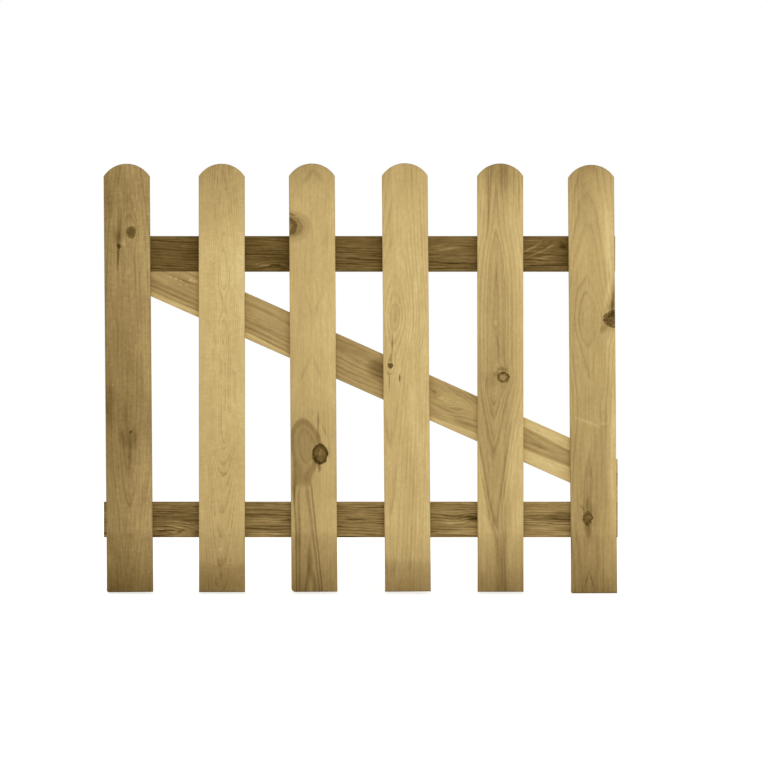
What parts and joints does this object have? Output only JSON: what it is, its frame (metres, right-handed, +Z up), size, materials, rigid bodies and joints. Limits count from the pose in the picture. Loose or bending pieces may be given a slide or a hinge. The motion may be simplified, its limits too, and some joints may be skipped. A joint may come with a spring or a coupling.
{
  "type": "wooden garden gate leaf",
  "caption": "Low garden gate leaf of round-topped softwood pickets on two rails, with a full-length diagonal brace rising from the hinge side.",
  "frame": {"origin": "on the back face of the bottom rail, at its mid-height, where the middle of the lower hinge strap goes", "axes": "+X along the rails towards the hinge side, +Y from the pickets out of the gate's back, +Z up"},
  "size_m": [0.999, 0.048, 0.8343],
  "materials": {
    "picket_softwood": "planed and pressure treated",
    "rail_softwood": "planed and pressure treated, weathered darker",
    "brace_softwood": "planed and pressure treated",
    "screw_steel": "yellow passivated"
  },
  "bodies": {
    "root": {"picket_1": "picket_softwood", "picket_2": "picket_softwood", "picket_3": "picket_softwood", "picket_4": "picket_softwood", "picket_5": "picket_softwood", "picket_6": "picket_softwood", "top_rail": "rail_softwood", "bottom_rail": "rail_softwood", "diagonal_brace": "brace_softwood"}
  },
  "joints": []
}
